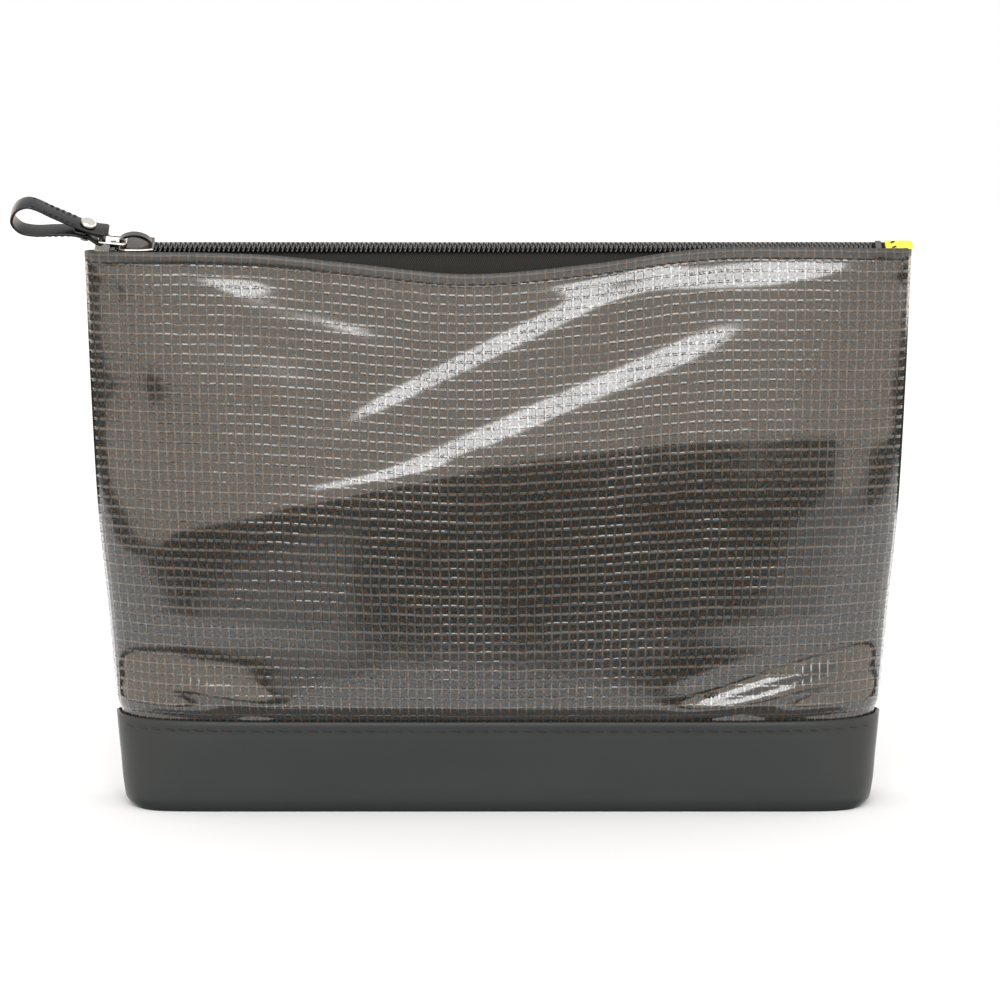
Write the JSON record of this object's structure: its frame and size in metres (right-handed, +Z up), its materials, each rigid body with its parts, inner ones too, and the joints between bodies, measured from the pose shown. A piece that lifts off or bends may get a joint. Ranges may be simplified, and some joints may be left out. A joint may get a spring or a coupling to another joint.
{
  "type": "zip-top cash deposit bag",
  "caption": "Flat-topped zip pouch for cash and papers: glossy mesh panels on a boxed dark base band, a coil zip along the top, and a slider with a leather loop pull.",
  "frame": {"origin": "centre of the base's underside, on the surface that the bag stands on", "axes": "+Z up, +X along the zip from the slider's closed end towards the tab, -Y out of the front panel"},
  "size_m": [0.2756, 0.0482, 0.1878],
  "materials": {
    "film_mesh": "clear glossy film over a woven grid of fine threads on a grey-brown ground",
    "base_leather": "smooth leather-look sheet with a faint grain, satin",
    "board": "grey pressed board",
    "lining_cloth": "plain woven black cloth",
    "tape_cloth": "black herringbone zip tape",
    "coil_nylon": "black nylon monofilament, glossy",
    "dark_metal": "polished dark nickel plate",
    "bright_metal": "polished nickel plate",
    "loop_leather": "smooth black leather, satin, with darker cut edges",
    "dark_thread": "black twisted sewing thread",
    "yellow_tab": "bright yellow woven ribbon",
    "clear_fold": "grey tape end sealed in clear film"
  },
  "bodies": {
    "bag": {"front_panel": "film_mesh", "back_panel": "film_mesh", "front_base_band": "base_leather", "back_base_band": "base_leather", "base_panel": "base_leather", "base_board": "board", "front_lining": "lining_cloth", "back_lining": "lining_cloth", "front_band_stitching": "dark_thread", "back_band_stitching": "dark_thread", "front_top_stitching": "dark_thread", "back_top_stitching": "dark_thread", "front_zipper_tape": "tape_cloth", "back_zipper_tape": "tape_cloth", "front_coil": "coil_nylon", "back_coil": "coil_nylon", "front_top_stop": "dark_metal", "back_top_stop": "dark_metal", "bottom_stop": "dark_metal", "zipper_start_fold": "clear_fold", "zipper_end_tab": "yellow_tab", "end_tab_stitching": "dark_thread"},
    "slider": {"slider_body": "dark_metal", "slider_bridge": "dark_metal"},
    "pull_link": {"pull_link": "bright_metal"},
    "pull_loop": {"loop_strap": "loop_leather", "loop_stitching": "dark_thread", "rivet_cap": "bright_metal", "rivet_post": "bright_metal"}
  },
  "joints": [
    {"name": "slider_travel", "type": "slide", "parent": "bag", "child": "slider", "axis": [1, 0, 0], "range_m": [0, 0.22], "deforming": ["front_coil", "back_coil"]},
    {"name": "link_swing", "type": "hinge", "parent": "slider", "child": "pull_link", "pos_m": [-0.1139, -0.00131, 0.17377], "axis": [0, -0.8829, -0.4695], "range_deg": [-104, 4]},
    {"name": "loop_swing", "type": "hinge", "parent": "pull_link", "child": "pull_loop", "pos_m": [-0.1219, -0.00174, 0.17457], "axis": [0, -0.8829, -0.4695], "range_deg": [-30, 4]}
  ]
}
